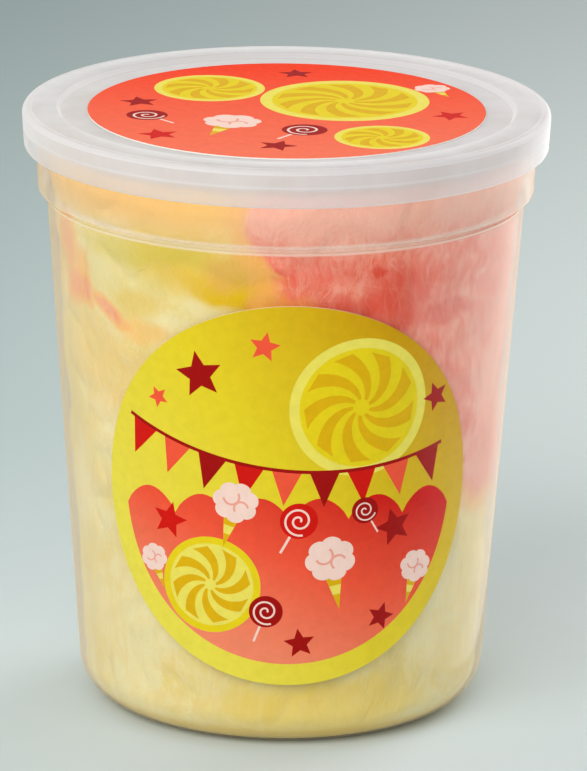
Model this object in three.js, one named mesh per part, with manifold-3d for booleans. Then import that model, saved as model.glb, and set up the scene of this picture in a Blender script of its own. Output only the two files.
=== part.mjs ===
// A round see-through tub of cotton candy, shut by a push-on lid, with a round sticker on
// the lid and another on the front wall. Two colours of floss fill the tub: yellow on the
// left and below, pink at the upper right, and one pink wisp against the left wall.
// Units are millimetres, +Z is up, the front is -Y, and the origin is the centre of the base.

import * as THREE from "three";
import { mergeVertices } from "three/addons/utils/BufferGeometryUtils.js";
import Module from "manifold-3d";

const wasm = await Module();
wasm.setup();

// ---------------------------------------------------------------- driving dimensions

const PLASTIC_FACETS = 64; // round the tub, the lid and the lid's sticker
const CLEARANCE = 0.3; // between pieces that touch

// Tub, measured outside
const WALL = 0.9;
const BASE_RADIUS = 45.8; // at the top of the base rounding
const BASE_ROUNDING = 10;
const SHOULDER_RADIUS = 53.4;
const SHOULDER_HEIGHT = 116.4;
const COLLAR_RADIUS = 55.4;
const COLLAR_HEIGHT = 118.4;
const NECK_RADIUS = 56; // top of the collar, under the lip
const LIP_RADIUS = 57.4;
const LIP_UNDERSIDE = 132.6;
const RIM_HEIGHT = 135.4;
const RIM_ROUNDING = 0.6;
const SHOULDER_ROUNDING = 0.5; // at both edges of the step under the collar

// Lid
const LID_RADIUS = 59;
const LID_TOP = 136.6;
const LID_SKIN = 0.85;
const LID_EDGE_ROUNDING = 1.5;
const LID_FILLET = 0.4; // at the foot and the brink of the sunk panel
const SKIRT_BOTTOM = 128;
const SKIRT_TAPER = 0.4; // how far the skirt leans in towards its bottom edge
const LID_BEAD_HEIGHT = 130.9;
const LID_BEAD_RADIUS = 57.15; // inside radius at its crest, less than the lip's
const LID_BEAD_HALF = 1.1; // half its height where it leaves the skirt
const LID_BEAD_CREST = 0.3; // half the height of its crest
const PANEL_TOP = 135.3; // the sunk middle of the lid
const PANEL_RADIUS = 50.3;
const RING_INNER_RADIUS = 51.5; // where the lid's flat ring begins

// Stickers
const STICKER_RADIUS = 44.45;
const STICKER_THICKNESS = 0.2;
const STICKER_GAP = 0.15;
const FRONT_STICKER_HEIGHT = 60.4;
const FRONT_STICKER_TURN = 2; // degrees, to the right of the front
const FRONT_STICKER_SLICES = 30;

// Floss
const FLOSS_FACETS = 48;
const FLOSS_ROW = 6.5; // spacing of its rows
const SIDE_RELIEF = 1.5; // depth of its hollows against the wall
const TOP_RELIEF = 2.4;
const FLOSS_TOP = 134.1;
const FLOSS_EDGE_ROUNDING = 4;

// The pink floss is what of the filling lies inside a big lumpy ball at the upper right.
const PINK_CENTRE = [46, -4, 124];
const PINK_SIZE = [59, 82, 70]; // half-axes
const PINK_LUMPS = 0.045; // share of its size
const PINK_FACETS = 36;

// The wisp is a few flattened lumps at the left wall: a blot, a streak and what joins them.
// Each has its turn (degrees from the front), height, lean of its long axis (degrees,
// positive to the left), and half-axes radially, across and along.
const WISP_LUMPS = [
  { turn: -67, height: 103, lean: 20, size: [6, 8, 13] },
  { turn: -58, height: 100, lean: 40, size: [4.5, 5, 9] },
  { turn: -51, height: 103, lean: 28, size: [4.5, 3.4, 14] },
];
const WISP_DEPTH = 1.5; // how far the lumps' centres lie inside the wall
const WISP_FACETS = 16;

// ---------------------------------------------------------------- materials

const plastic = new THREE.MeshStandardMaterial({
  color: 0xf4f0ea,
  roughness: 0.32,
  metalness: 0,
  transparent: true,
  opacity: 0.3,
});
const lidPlastic = new THREE.MeshStandardMaterial({
  color: 0xe6e3e1,
  roughness: 0.38,
  metalness: 0,
  transparent: true,
  opacity: 0.8,
});
const lidPaper = new THREE.MeshStandardMaterial({
  color: 0xf6583e,
  roughness: 0.45,
  metalness: 0,
});
const frontPaper = new THREE.MeshStandardMaterial({
  color: 0xeada3e,
  roughness: 0.45,
  metalness: 0,
});
const yellowFloss = new THREE.MeshStandardMaterial({
  color: 0xe8dd9c,
  roughness: 0.95,
  metalness: 0,
});
const pinkFloss = new THREE.MeshStandardMaterial({
  color: 0xe07862,
  roughness: 0.95,
  metalness: 0,
});

// ---------------------------------------------------------------- helpers

const radians = THREE.MathUtils.degToRad;
const draft = Math.atan2(
  SHOULDER_RADIUS - BASE_RADIUS,
  SHOULDER_HEIGHT - BASE_ROUNDING,
);

// Points of a round corner in a profile, with angles in degrees, 0 pointing outwards.
function corner(radius, height, size, from, to, steps) {
  return Array.from({ length: steps + 1 }, (_, i) => {
    const angle = radians(from + ((to - from) * i) / steps);
    return [radius + size * Math.cos(angle), height + size * Math.sin(angle)];
  });
}

// Turns a profile of [radius, height] points about the Z axis.
function turned(profile, facets) {
  const points = profile.map(([radius, height]) => new THREE.Vector2(radius, height));
  return new THREE.LatheGeometry(points, facets).rotateX(Math.PI / 2);
}

function toSolid(geometry) {
  const bare = geometry.clone().deleteAttribute("normal").deleteAttribute("uv");
  const merged = mergeVertices(bare, 1e-3);
  return new wasm.Manifold(
    new wasm.Mesh({
      numProp: 3,
      vertProperties: merged.attributes.position.array,
      triVerts: new Uint32Array(merged.index.array),
    }),
  );
}

function toGeometry(solid) {
  const mesh = solid.getMesh();
  const geometry = new THREE.BufferGeometry()
    .setAttribute("position", new THREE.BufferAttribute(mesh.vertProperties, 3))
    .setIndex(new THREE.BufferAttribute(mesh.triVerts, 1));
  geometry.computeVertexNormals();
  return geometry;
}

function named(name, geometry, material) {
  const mesh = new THREE.Mesh(geometry, material);
  mesh.name = name;
  return mesh;
}

// The tub's outside radius on the sloping wall.
function wallRadius(height) {
  return BASE_RADIUS + (height - BASE_ROUNDING) * Math.tan(draft);
}

// ---------------------------------------------------------------- tub

// The tub's face from the middle of the base to the top of the collar, set in from the
// outside by a depth: 0 is the outside, WALL the inside.
function tubFace(depth) {
  const lean = THREE.MathUtils.radToDeg(draft);
  const round = BASE_ROUNDING - depth;
  return [
    [0, depth],
    ...corner(BASE_RADIUS - BASE_ROUNDING, BASE_ROUNDING, round, -90, -lean, 6),
    [SHOULDER_RADIUS - depth, SHOULDER_HEIGHT],
    [SHOULDER_RADIUS - depth + SHOULDER_ROUNDING, SHOULDER_HEIGHT + SHOULDER_ROUNDING],
    [COLLAR_RADIUS - depth - SHOULDER_ROUNDING, COLLAR_HEIGHT - SHOULDER_ROUNDING],
    [COLLAR_RADIUS - depth, COLLAR_HEIGHT],
    [NECK_RADIUS - depth, LIP_UNDERSIDE - WALL],
  ];
}

function tub() {
  const round = RIM_ROUNDING;
  const lip = [
    [LIP_RADIUS, LIP_UNDERSIDE],
    ...corner(LIP_RADIUS - round, RIM_HEIGHT - round, round, 0, 90, 3),
    ...corner(NECK_RADIUS - WALL + round, RIM_HEIGHT - round, round, 90, 180, 2),
  ];
  const profile = [...tubFace(0), ...lip, ...tubFace(WALL).reverse()];
  return named("tub", turned(profile, PLASTIC_FACETS), plastic);
}

// ---------------------------------------------------------------- lid

function lid() {
  const round = LID_EDGE_ROUNDING;
  const inside = LID_RADIUS - LID_SKIN;
  const hem = LID_RADIUS - SKIRT_TAPER;
  const top = [
    [0, PANEL_TOP],
    [PANEL_RADIUS, PANEL_TOP],
    [PANEL_RADIUS + LID_FILLET, PANEL_TOP + LID_FILLET / 2],
    [RING_INNER_RADIUS - LID_FILLET, LID_TOP - LID_FILLET / 2],
    [RING_INNER_RADIUS, LID_TOP],
  ];
  const edge = corner(LID_RADIUS - round, LID_TOP - round, round, 90, 0, 4);
  const skirt = [
    [hem, SKIRT_BOTTOM + LID_FILLET],
    [hem - LID_FILLET, SKIRT_BOTTOM],
    [hem - LID_SKIN, SKIRT_BOTTOM],
    [inside - LID_FILLET / 2, LID_BEAD_HEIGHT - LID_BEAD_HALF],
    [LID_BEAD_RADIUS, LID_BEAD_HEIGHT - LID_BEAD_CREST],
    [LID_BEAD_RADIUS, LID_BEAD_HEIGHT + LID_BEAD_CREST],
    [inside, LID_BEAD_HEIGHT + LID_BEAD_HALF],
    [inside, LID_TOP - round],
    [LID_RADIUS - round, LID_TOP - LID_SKIN],
  ];
  const underside = [
    [RING_INNER_RADIUS + LID_FILLET, LID_TOP - LID_SKIN],
    [PANEL_RADIUS + LID_FILLET, PANEL_TOP - LID_SKIN],
    [0, PANEL_TOP - LID_SKIN],
  ];
  const profile = [...top, ...edge, ...skirt, ...underside].reverse();
  return named("lid", turned(profile, PLASTIC_FACETS), lidPlastic);
}

// ---------------------------------------------------------------- stickers

function lidSticker() {
  const low = PANEL_TOP + STICKER_GAP;
  const high = low + STICKER_THICKNESS;
  const profile = [
    [0, low],
    [STICKER_RADIUS, low],
    [STICKER_RADIUS, high],
    [0, high],
  ];
  return named("lid_sticker", turned(profile, PLASTIC_FACETS), lidPaper);
}

// A round sticker bent on to the sloping wall. Upright slices keep it clear of the wall's
// curve, and each slice runs from the lower to the upper half of the circle.
function frontSticker() {
  const positions = [];
  const onWall = (across, up, lift) => {
    const height = FRONT_STICKER_HEIGHT + up * Math.cos(draft);
    const radius = wallRadius(height);
    const angle = across / radius + radians(FRONT_STICKER_TURN - 90);
    const reach = radius + lift;
    return [reach * Math.cos(angle), reach * Math.sin(angle), height];
  };
  const slices = Array.from({ length: FRONT_STICKER_SLICES + 1 }, (_, i) => {
    const angle = (Math.PI * i) / FRONT_STICKER_SLICES;
    const across = -STICKER_RADIUS * Math.cos(angle);
    const up = STICKER_RADIUS * Math.sin(angle);
    const back = STICKER_GAP;
    const front = STICKER_GAP + STICKER_THICKNESS;
    return [
      onWall(across, -up, front),
      onWall(across, up, front),
      onWall(across, up, back),
      onWall(across, -up, back),
    ];
  });
  const quad = (a, b, c, d) => positions.push(...a, ...b, ...c, ...a, ...c, ...d);
  for (let i = 0; i < FRONT_STICKER_SLICES; i++) {
    const here = slices[i];
    const next = slices[i + 1];
    for (let side = 0; side < 4; side++) {
      const after = (side + 1) % 4;
      quad(here[side], next[side], next[after], here[after]);
    }
  }
  const first = slices[0];
  const last = slices[FRONT_STICKER_SLICES];
  quad(first[0], first[1], first[2], first[3]);
  quad(last[3], last[2], last[1], last[0]);
  const geometry = new THREE.BufferGeometry().setAttribute(
    "position",
    new THREE.Float32BufferAttribute(positions, 3),
  );
  geometry.computeVertexNormals();
  return named("front_sticker", geometry, frontPaper);
}

// ---------------------------------------------------------------- floss

// How hollow the floss is at a place on its skin: 0 where it presses outwards, 1 at most.
function hollow(angle, height) {
  const folds = Math.sin(3 * angle + height / 13) * Math.cos(2 * angle - height / 19);
  const tufts = Math.sin(7 * angle - height / 8) * Math.sin(5 * angle + height / 6);
  return 0.5 + 0.3 * folds + 0.2 * tufts;
}

// Adds points so that no two neighbours lie further apart than a step.
function divided(profile, step) {
  const result = [profile[0]];
  for (let i = 1; i < profile.length; i++) {
    const [radiusA, heightA] = profile[i - 1];
    const [radiusB, heightB] = profile[i];
    const length = Math.hypot(radiusB - radiusA, heightB - heightA);
    const count = Math.ceil(length / step);
    for (let j = 1; j <= count; j++) {
      const share = j / count;
      result.push([
        radiusA + (radiusB - radiusA) * share,
        heightA + (heightB - heightA) * share,
      ]);
    }
  }
  return result;
}

// All the floss as one body: the inside of the tub up to the lid, with an uneven skin.
function filling() {
  const outline = tubFace(WALL + CLEARANCE).slice(0, -1);
  const [collarRadius] = outline.at(-1);
  const round = FLOSS_EDGE_ROUNDING;
  const brim = corner(collarRadius - round, FLOSS_TOP - round, round, 0, 90, 2);
  const side = divided([...outline.slice(1), brim[0]], FLOSS_ROW);
  const top = divided([brim[2], [0, FLOSS_TOP]], 2 * FLOSS_ROW);
  const geometry = turned([outline[0], ...side, brim[1], ...top], FLOSS_FACETS);
  const positions = geometry.attributes.position;
  for (let i = 0; i < positions.count; i++) {
    const x = positions.getX(i);
    const y = positions.getY(i);
    const z = positions.getZ(i);
    const radius = Math.max(Math.hypot(x, y), 1);
    const depth = hollow(Math.atan2(y, x), z);
    const sideShare = THREE.MathUtils.smoothstep(z, 0, BASE_ROUNDING);
    const topShare =
      THREE.MathUtils.smoothstep(z, FLOSS_TOP - round, FLOSS_TOP) *
      THREE.MathUtils.smoothstep(radius, 1, 2 * FLOSS_ROW);
    const shrink = 1 - (SIDE_RELIEF * depth * sideShare) / radius;
    positions.setXYZ(i, x * shrink, y * shrink, z - TOP_RELIEF * depth * topShare);
  }
  return toSolid(geometry);
}

// A ball pushed in and out by lumps, with its half-axes grown by a margin.
function lumpyBall(centre, size, lumps, margin) {
  const geometry = new THREE.SphereGeometry(1, PINK_FACETS, (PINK_FACETS * 2) / 3);
  const positions = geometry.attributes.position;
  for (let i = 0; i < positions.count; i++) {
    const x = positions.getX(i);
    const y = positions.getY(i);
    const z = positions.getZ(i);
    const coarse = Math.sin(5 * x + 2 * y) * Math.cos(4 * z - 3 * y);
    const fine = Math.sin(9 * y - 5 * z) * Math.cos(8 * x + 6 * z);
    const swell = 1 + lumps * (coarse + 0.5 * fine);
    positions.setXYZ(
      i,
      x * swell * (size[0] + margin),
      y * swell * (size[1] + margin),
      z * swell * (size[2] + margin),
    );
  }
  geometry.translate(...centre);
  return toSolid(geometry);
}

// The wisp's lumps, joined: each a ball stretched along its lean on the wall.
function wispBlank(margin) {
  const lumps = WISP_LUMPS.map(({ turn, height, lean, size }) => {
    const geometry = new THREE.SphereGeometry(1, WISP_FACETS, WISP_FACETS);
    geometry.scale(...size.map((half) => half + margin));
    geometry.rotateX(radians(lean));
    geometry.translate(wallRadius(height) - WALL - WISP_DEPTH, 0, height);
    geometry.rotateZ(radians(turn - 90));
    return toSolid(geometry);
  });
  return lumps.reduce((all, lump) => all.add(lump));
}

function floss() {
  const all = filling();
  const pinkBall = lumpyBall(PINK_CENTRE, PINK_SIZE, PINK_LUMPS, 0);
  const pinkSpace = lumpyBall(PINK_CENTRE, PINK_SIZE, PINK_LUMPS, CLEARANCE);
  const yellow = all.subtract(pinkSpace).subtract(wispBlank(CLEARANCE));
  const pink = all.intersect(pinkBall);
  const wisp = all.intersect(wispBlank(0));
  return [
    named("cotton_candy_yellow", toGeometry(yellow), yellowFloss),
    named("cotton_candy_pink", toGeometry(pink), pinkFloss),
    named("cotton_candy_pink_wisp", toGeometry(wisp), pinkFloss),
  ];
}

// ---------------------------------------------------------------- the part

const cottonCandyTub = new THREE.Group();
cottonCandyTub.add(tub(), lid(), lidSticker(), frontSticker(), ...floss());

export default cottonCandyTub;
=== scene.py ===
import math

import bmesh
import bpy
import numpy as np
from mathutils import Matrix, Vector, noise
from mathutils.geometry import delaunay_2d_cdt


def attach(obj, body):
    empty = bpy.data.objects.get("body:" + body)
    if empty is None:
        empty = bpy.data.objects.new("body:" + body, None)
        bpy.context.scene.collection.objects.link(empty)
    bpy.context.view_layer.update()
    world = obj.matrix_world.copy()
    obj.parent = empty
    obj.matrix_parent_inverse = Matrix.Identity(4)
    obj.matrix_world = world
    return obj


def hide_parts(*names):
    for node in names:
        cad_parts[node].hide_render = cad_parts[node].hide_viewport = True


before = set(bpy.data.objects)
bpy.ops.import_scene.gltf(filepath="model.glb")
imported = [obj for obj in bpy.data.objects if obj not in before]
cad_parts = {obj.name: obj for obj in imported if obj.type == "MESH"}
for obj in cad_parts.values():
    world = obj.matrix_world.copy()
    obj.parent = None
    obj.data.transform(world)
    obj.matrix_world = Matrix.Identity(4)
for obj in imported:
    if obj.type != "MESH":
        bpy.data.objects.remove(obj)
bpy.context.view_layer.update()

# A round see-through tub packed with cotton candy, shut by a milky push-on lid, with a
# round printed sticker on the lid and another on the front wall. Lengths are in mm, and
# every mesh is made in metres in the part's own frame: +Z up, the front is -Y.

MM = 0.001

# ---------- the tub's sizes

WALL = 0.9
BASE_RADIUS = 45.8
BASE_ROUNDING = 10.0
SHOULDER_RADIUS = 53.4
SHOULDER_HEIGHT = 116.4
COLLAR_RADIUS = 55.4
COLLAR_HEIGHT = 118.4
NECK_RADIUS = 56.0
LIP_RADIUS = 57.4
LIP_UNDERSIDE = 132.6
RIM_HEIGHT = 135.4
RIM_ROUNDING = 0.6
SHOULDER_ROUNDING = 0.5

LID_RADIUS = 59.0
LID_TOP = 136.6
LID_SKIN = 0.85
LID_EDGE_ROUNDING = 1.5
LID_FILLET = 0.4
SKIRT_BOTTOM = 128.0
SKIRT_TAPER = 0.4
LID_BEAD_HEIGHT = 130.9
LID_BEAD_RADIUS = 57.15
LID_BEAD_HALF = 1.1
LID_BEAD_CREST = 0.3
PANEL_TOP = 135.3
PANEL_RADIUS = 50.3
RING_INNER_RADIUS = 51.5
RING_GROOVE_RADIUS = 57.0
RING_GROOVE_DEPTH = 0.12

STICKER_RADIUS = 44.45
STICKER_THICKNESS = 0.2
STICKER_GAP = 0.15
STICKER_GLUE = 0.03  # under the printed sticker, which its glue draws on to the plastic
FRONT_STICKER_HEIGHT = 60.4
FRONT_STICKER_TURN = math.radians(2)

PLASTIC_FACETS = 256
SHARP_ANGLE = math.radians(50)  # an edge that turns further stays sharp
DRAFT = math.atan2(SHOULDER_RADIUS - BASE_RADIUS, SHOULDER_HEIGHT - BASE_ROUNDING)

# ---------- the floss's sizes

CLEARANCE = 0.25  # between the floss's proudest places and the wall
SUNK_DEPTH = 0.35  # of the floss under the tub's outer face at the base, just into the wall
FLOSS_TOP = 134.1
FLOSS_EDGE_ROUNDING = 4.0
FLOSS_SHOULDER = 8.0  # the height in which the floss widens to the collar
FLOSS_COLUMNS = 360
FLOSS_ROW = 0.9
SKIN_SEED = 1  # for noise_vector, which Blender otherwise seeds from the clock
SWIRL_SIZE = 22  # of the warp that bends puffs and creases
SWIRL_REACH = 9
PUFF_SIZE = 17
CREASE_SIZE = 13
FINE_LUMP_SIZE = 3.6
DEEPEST_FOLD = 1.3  # as a share of the relief
SIDE_RELIEF = 1.3  # how deep a crease is in the floss's side
TOP_RELIEF = 3.0
YELLOW_WARMS = (114, 124)  # heights between which the colours change: near the collar, warmer, partly the floss's colour and partly painted light through the lid,
PINK_WARMS = (116, 124)
LID_SHADE = (128.5, 131)  # under the lid, a painted shade
PALE_FOOT = (0, 9)  # and at the foot, paler, a painted light
SHINE_HEIGHT = SHOULDER_HEIGHT + 0.7  # of the painted pale ring, a painted highlight where the tub's shoulder lights the floss
PINK_CENTRE = (46.0, -4.0, 124.0)
PINK_SIZE = (59.0, 82.0, 70.0)  # half-axes of the lumpy ball that holds the pink floss
WISP_LUMPS = (  # turn, height, lean, then half-axes radially, across and along
    (-67, 103, 20, (6.0, 8.0, 13.0)),
    (-58, 100, 40, (4.5, 5.0, 9.0)),
    (-51, 103, 28, (4.5, 3.4, 14.0)),
)
WISP_DEPTH = 1.5
STAIN_DEPTH = 9  # the radial half-axis of all stains and blots
PINK_STAINS = (  # pink beyond the ball: turn, height, lean, other half-axes, strength
    (-65, 101, 0, (8, 6), 0.85),
    (-59, 100.5, 20, (3, 5.5), 0.9),
    (-64, 111, 10, (1.2, 9), 0.55),
    (-70, 110, 0, (7, 11), 0.85),
    (-63, 105, 0, (6, 8), 0.35),
    (-50, 98, 72, (2.4, 8.5), 0.9),
    (5, 117.3, 42, (13.5, 22), 1.8),
)
THREADS = 3900  # in a piece
THREAD_KNOTS = 9
THREAD_LENGTH = (5.0, 15.0)
THREAD_THICKNESS = (0.035, 0.08)
THREAD_LIFT = 0.3
BLOTS = (  # turn, height, other half-axes, colour, strength
    (-22, 112, (24, 9), "mustard", 0.6),
    (-38, 114, (26, 5), "olive", 0.7),
    (-45, 106, (16, 9), "olive", 0.3),
    (-11, 106, (11, 6.5), "mustard", 0.9),
    (-9, 105.5, (9, 4.5), "mustard", 1.0),
    (-20, 108, (9, 3.5), "mustard", 0.5),
    (-12, 112, (8, 5), "ochre", 0.7),
    (-19, 102.5, (9, 3), "cream", 0.7),
    (-40, 101, (8, 4), "mustard", 0.45),
    (-38, 95.5, (9, 3), "apricot", 0.6),
    (-50, 84, (24, 14), "apricot", 0.22),
    (-52, 108, (7, 5), "cream", 0.3),
    # painted light: the amber glow at the foot, from light passing through the floss
    (14, 9, (42, 9), "amber", 0.6),
    (8, 112, (12, 5), "red", 0.4),
    (26, 108, (8, 6), "red", 0.6),
    (23, 111, (2.2, 1.9), "red", 0.9),
    (24, 101, (17, 6), "red", 0.6),
    (31, 105, (6, 9), "red", 0.4),
    (12, 104, (10, 3), "red", 0.4),
    (45, 99, (9, 3), "red", 0.6),
    (40, 107, (10, 9), "red", 0.3),
    (1, 102, (9, 4.5), "orange", 0.9),
)

# ---------- the camera

CAMERA_PLACE = (0.0, -1.4, 0.4793)
CAMERA_PITCH = 0.2834  # downwards
CAMERA_YAW = 0.0016
CAMERA_ROLL = 0.012
FOCAL_LENGTH = 301.5
SENSOR = 36.0


def rgb(red, green, blue):
    """An sRGB colour, 0 to 255, as the linear colour that a shader takes."""
    def linear(value):
        share = value / 255
        return share / 12.92 if share <= 0.04045 else ((share + 0.055) / 1.055) ** 2.4
    return (linear(red), linear(green), linear(blue), 1.0)


# ---------- meshes

def new_object(name, data):
    piece = bpy.data.objects.new(name, data)
    bpy.context.scene.collection.objects.link(piece)
    return piece


def mesh_from_arrays(name, points, triangles):
    """A mesh from an array of points in mm and one of triangles."""
    mesh = bpy.data.meshes.new(name)
    mesh.vertices.add(len(points))
    mesh.vertices.foreach_set("co", np.asarray(points, np.float32).ravel() * MM)
    mesh.loops.add(len(triangles) * 3)
    mesh.loops.foreach_set("vertex_index", np.asarray(triangles, np.int32).ravel())
    mesh.polygons.add(len(triangles))
    mesh.polygons.foreach_set("loop_start", np.arange(len(triangles), dtype=np.int32) * 3)
    mesh.update(calc_edges=True)
    mesh.validate()
    mesh.shade_smooth()
    return mesh


def polar(reach, angle):
    return reach * math.cos(angle), reach * math.sin(angle)


def corner(radius, height, size, start, end, steps):
    """Points of a round corner in a profile, with angles in degrees, 0 outwards."""
    angles = [math.radians(start + (end - start) * i / steps) for i in range(steps + 1)]
    return [(radius + size * math.cos(a), height + size * math.sin(a)) for a in angles]


def turned_mesh(name, profile, columns, slots=None):
    """Turns a profile that starts and ends on the axis about it, and closes the ends.

    slots gives the material of each stretch of the profile.
    """
    points = []
    rings = []
    for radius, height in profile:
        rings.append(len(points))
        if radius < 1e-6:
            points.append((0, 0, height))
            continue
        for i in range(columns):
            points.append((*polar(radius, 2 * math.pi * i / columns), height))
    faces = []
    materials = []
    for row in range(len(profile) - 1):
        low, high = rings[row], rings[row + 1]
        for i in range(columns):
            j = (i + 1) % columns
            if profile[row][0] < 1e-6:
                faces.append((low, high + j, high + i))
            elif profile[row + 1][0] < 1e-6:
                faces.append((low + i, low + j, high))
            else:
                faces.append((low + i, low + j, high + j, high + i))
            materials.append(slots[row] if slots else 0)
    mesh = bpy.data.meshes.new(name)
    mesh.from_pydata([tuple(c * MM for c in p) for p in points], [], faces)
    mesh.polygons.foreach_set("material_index", materials)
    mesh.shade_smooth()
    mesh.update()
    return mesh


def wall_radius(height):
    """The tub's outside radius on the sloping wall."""
    return BASE_RADIUS + (height - BASE_ROUNDING) * math.tan(DRAFT)


# ---------- shaders

class Shader:
    """A material's node tree, with short ways to add nodes and to join them."""

    def __init__(self, name):
        self.material = bpy.data.materials.new(name)
        self.material.use_nodes = True
        self.tree = self.material.node_tree
        self.tree.nodes.clear()

    def add(self, kind, inputs=None, **settings):
        """Adds a node; inputs maps a socket's name or number to a value or a socket."""
        node = self.tree.nodes.new("ShaderNode" + kind)
        for name, value in settings.items():
            setattr(node, name, value)
        for key, value in (inputs or {}).items():
            if isinstance(value, bpy.types.NodeSocket):
                self.tree.links.new(value, node.inputs[key])
            else:
                node.inputs[key].default_value = value
        return node

    def place(self):
        return self.add("TexCoord").outputs["Object"]

    def stretched(self, scale):
        """The place, scaled by its own factor along each axis."""
        return self.add("Mapping", {"Vector": self.place(), "Scale": scale}).outputs[0]

    def noise(self, scale, detail=2.0, roughness=0.5, vector=None, distortion=0.0):
        inputs = {"Vector": vector or self.place(), "Scale": scale, "Detail": detail,
                  "Roughness": roughness, "Distortion": distortion}
        return self.add("TexNoise", inputs).outputs["Fac"]

    def math(self, operation, first, second=0.0):
        return self.add("Math", {0: first, 1: second}, operation=operation).outputs[0]

    def off(self, value, level):
        """How far a value lies from a level in mm."""
        return self.math("ABSOLUTE", self.math("SUBTRACT", value, level * MM))

    def edge_on(self, power):
        """From 0 where the surface is seen straight to 1 where it is seen edge-on."""
        facing = self.add("LayerWeight", {"Blend": 0.5}).outputs["Facing"]
        return self.math("POWER", facing, power)

    def ranged(self, value, low, high, to_low=0.0, to_high=1.0, smooth=False):
        inputs = {"Value": value, "From Min": low, "From Max": high,
                  "To Min": to_low, "To Max": to_high}
        kind = "SMOOTHSTEP" if smooth else "LINEAR"
        return self.add("MapRange", inputs, interpolation_type=kind).outputs["Result"]

    def between(self, value, levels, to_low, to_high):
        """A soft change between two levels in mm."""
        low, high = levels
        return self.ranged(value, low * MM, high * MM, to_low, to_high, True)

    def blend(self, share, first, second):
        """Mixes two colours by a share."""
        inputs = {"Factor": share, 6: first, 7: second}
        return self.add("Mix", inputs, data_type="RGBA").outputs[2]

    def shaken(self, scale, amount):
        """The place, shifted by a soft noise by up to half the amount each way."""
        cloud = self.add("TexNoise", {"Vector": self.place(), "Scale": scale, "Detail": 3.0})
        shift = self.add("MapRange", {
            6: cloud.outputs["Color"], 7: (0.0, 0.0, 0.0), 8: (1.0, 1.0, 1.0),
            9: (-amount / 2,) * 3, 10: (amount / 2,) * 3}, data_type="FLOAT_VECTOR")
        return self.add("VectorMath", {0: self.place(), 1: shift.outputs[1]},
                        operation="ADD").outputs[0]

    def reach(self, vector, centre, turn, lean, size):
        """How far a vector lies from a centre: 1 on an ellipsoid with these half-axes in mm,
        turned about Z and leant about its own X."""
        local = self.add("Mapping", {
            "Vector": vector,
            "Location": tuple(c * MM for c in centre),
            "Rotation": (math.radians(lean), 0, math.radians(turn)),
            "Scale": tuple(half * MM for half in size)}, vector_type="TEXTURE")
        return self.add("VectorMath", {0: local.outputs[0]},
                        operation="LENGTH").outputs["Value"]

    def bump(self, height, strength, distance):
        inputs = {"Height": height, "Strength": strength, "Distance": distance}
        return self.add("Bump", inputs).outputs[0]

    def rippled(self):
        """The slightly uneven skin of moulded plastic."""
        return self.bump(self.noise(90.0, 2.0, 0.5), 0.12, 0.0004)

    def shiny(self, roughness, normal):
        inputs = {"Color": (1, 1, 1, 1), "Roughness": roughness, "Normal": normal}
        return self.add("BsdfGlossy", inputs).outputs[0]

    def mixed(self, share, first, second):
        """Mixes two shaders by a share."""
        return self.add("MixShader", {0: share, 1: first, 2: second}).outputs[0]

    def finish(self, surface):
        self.add("OutputMaterial", {"Surface": surface})
        return self.material


def milky_plastic(name, tints, haze, glow, gloss, lines, local_haze, body_normal=None):
    """See-through polypropylene: clear plus a haze that thickens where it is seen edge-on.

    tints and haze are the milk's colour and share seen straight and edge-on, where a warmer
    edge-on tint is painted light, the floss's colour that the wall scatters; glow the part
    of it that shines through from behind, gloss the roughness and the mirror's share seen
    straight and edge-on, lines the heights where a corner looks paler, partly a painted
    highlight, each with its half-width and strength. local_haze(shader, milk, height)
    changes the milk's share by height, and body_normal(shader) gives the way that the milk
    faces, if not as its skin.
    """
    shader = Shader(name)
    cloud = shader.noise(1.0, 3.0, 0.6, shader.stretched((70, 70, 6)))
    milk = shader.ranged(shader.edge_on(2.4), 0.0, 1.0, *haze)
    milk = shader.math("MULTIPLY", milk, shader.ranged(cloud, 0.3, 0.7, 0.92, 1.08))
    height = shader.add("SeparateXYZ", {0: shader.place()}).outputs["Z"]
    milk = local_haze(shader, milk, height)
    # Paler lines at corners and edges: more milk, partly the thicker plastic and partly a painted
    # highlight.
    for line, half, strength in lines:
        pale = shader.between(shader.off(height, line), (half / 3, half), strength, 0.0)
        milk = shader.math("ADD", milk, pale)
    milk = shader.math("MINIMUM", shader.math("MAXIMUM", milk, 0.0), 1.0)
    tint = shader.blend(shader.edge_on(3.0), *tints)
    normal = shader.rippled()
    soft = body_normal(shader) if body_normal else normal
    diffuse = shader.add("BsdfDiffuse", {"Color": tint, "Normal": soft})
    through = shader.add("BsdfTranslucent", {"Color": tint, "Normal": soft})
    body = shader.mixed(glow, diffuse.outputs[0], through.outputs[0])
    clear = shader.add("BsdfTransparent", {"Color": (0.985, 0.98, 0.97, 1)}).outputs[0]
    hazy = shader.mixed(milk, clear, body)
    roughness, *mirror = gloss
    glint = shader.ranged(shader.edge_on(3.0), 0.0, 1.0, *mirror)
    return shader.finish(shader.mixed(glint, hazy, shader.shiny(roughness, normal)))


def tub_haze(shader, milk, height):
    """Less milk at the base and in the shoulder's slope, and more of it in the collar. A
    very fine grain keeps any edge from showing where clear turns into milky."""
    grain = shader.add("TexWhiteNoise", {"Vector": shader.place()}).outputs["Value"]
    milk = shader.math("MULTIPLY", milk, shader.ranged(grain, 0.0, 1.0, 0.72, 1.28))
    milk = shader.math("MULTIPLY", milk, shader.ranged(height, 0.0005, 0.007, 0.6, 1.0))
    milk = shader.math("ADD", milk, shader.ranged(
        height, SHOULDER_HEIGHT * MM, COLLAR_HEIGHT * MM, 0.0, 0.12))
    off = shader.off(height, (SHOULDER_HEIGHT + COLLAR_HEIGHT) / 2)
    return shader.math("MULTIPLY", milk, shader.between(off, (0.8, 1.1), 0.1, 1.0))


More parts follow.
